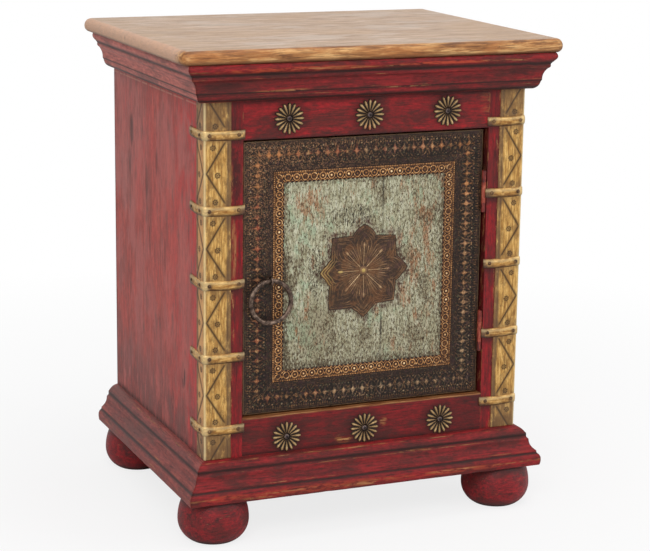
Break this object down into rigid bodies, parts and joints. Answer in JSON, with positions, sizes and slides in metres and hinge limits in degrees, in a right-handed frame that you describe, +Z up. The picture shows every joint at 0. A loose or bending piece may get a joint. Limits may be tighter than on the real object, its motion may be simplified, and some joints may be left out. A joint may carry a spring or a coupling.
{
  "type": "bedside cabinet",
  "caption": "Free-standing bedside cabinet on bun feet, with a moulded cornice and plinth, brass corner straps and a hinged door with embossed metal border and ring pull.",
  "frame": {"origin": "on the floor, under the middle of the top board's footprint", "axes": "+Z up, -Y out of the front (the door's face), +X to the viewer's right"},
  "size_m": [0.492, 0.4, 0.5965],
  "materials": {
    "top_wood": "waxed, worn",
    "red_paint": "distressed crimson paint",
    "bare_wood": "bare, oiled",
    "pale_paint": "distressed pale green paint",
    "corner_brass": "engraved, patinated",
    "aged_brass": "antiqued",
    "dark_copper": "embossed, dark patina",
    "gilt_copper": "embossed, worn gilt",
    "dark_iron": "worn, waxed",
    "hinge_iron": "worn red paint",
    "steel": "zinc plated"
  },
  "bodies": {
    "carcass": {"top_board": "top_wood", "cornice_front": "red_paint", "cornice_left": "red_paint", "cornice_right": "red_paint", "plinth_front": "red_paint", "plinth_left": "red_paint", "plinth_right": "red_paint", "side_panel_left": "red_paint", "side_panel_right": "red_paint", "front_stile_left": "red_paint", "front_stile_right": "red_paint", "top_rail": "red_paint", "bottom_rail": "red_paint", "foot_front_left": "red_paint", "foot_front_right": "red_paint", "foot_back_left": "red_paint", "foot_back_right": "red_paint", "back_panel": "bare_wood", "floor_panel": "bare_wood", "base_board": "bare_wood", "top_cleat_left": "bare_wood", "top_cleat_right": "bare_wood", "stop_block": "bare_wood", "corner_angle_left": "corner_brass", "corner_angle_right": "corner_brass", "straps_left": "corner_brass", "straps_right": "corner_brass", "rosettes_top": "aged_brass", "rosettes_bottom": "aged_brass", "rosette_nails": "aged_brass", "strap_nails_left": "dark_iron", "strap_nails_right": "dark_iron", "catch_magnet": "dark_iron", "hinge_upper_frame_leaf": "hinge_iron", "hinge_upper_pin": "hinge_iron", "hinge_lower_frame_leaf": "hinge_iron", "hinge_lower_pin": "hinge_iron", "cleat_screws": "steel", "hinge_frame_screws": "steel"},
    "door": {"door_plank_left": "pale_paint", "door_plank_middle": "pale_paint", "door_plank_right": "pale_paint", "door_ledge_lower": "bare_wood", "door_ledge_upper": "bare_wood", "ledge_nails": "dark_iron", "border_sheet": "dark_copper", "filigree_band": "gilt_copper", "medallion": "dark_copper", "medallion_nail": "aged_brass", "pull_staple": "dark_iron", "hinge_upper_door_leaf": "hinge_iron", "hinge_lower_door_leaf": "hinge_iron", "hinge_door_screws": "steel", "strike_plate": "steel"},
    "ring": {"ring_pull": "dark_iron"}
  },
  "joints": [
    {"name": "door_hinge", "type": "hinge", "parent": "carcass", "child": "door", "pos_m": [0.1571, -0.1656, 0.3195], "axis": [0, 0, 1], "range_deg": [0, 135]},
    {"name": "ring_swing", "type": "hinge", "parent": "door", "child": "ring", "pos_m": [-0.1252, -0.171, 0.31765], "axis": [-1, 0, 0], "range_deg": [-5, 170]}
  ]
}
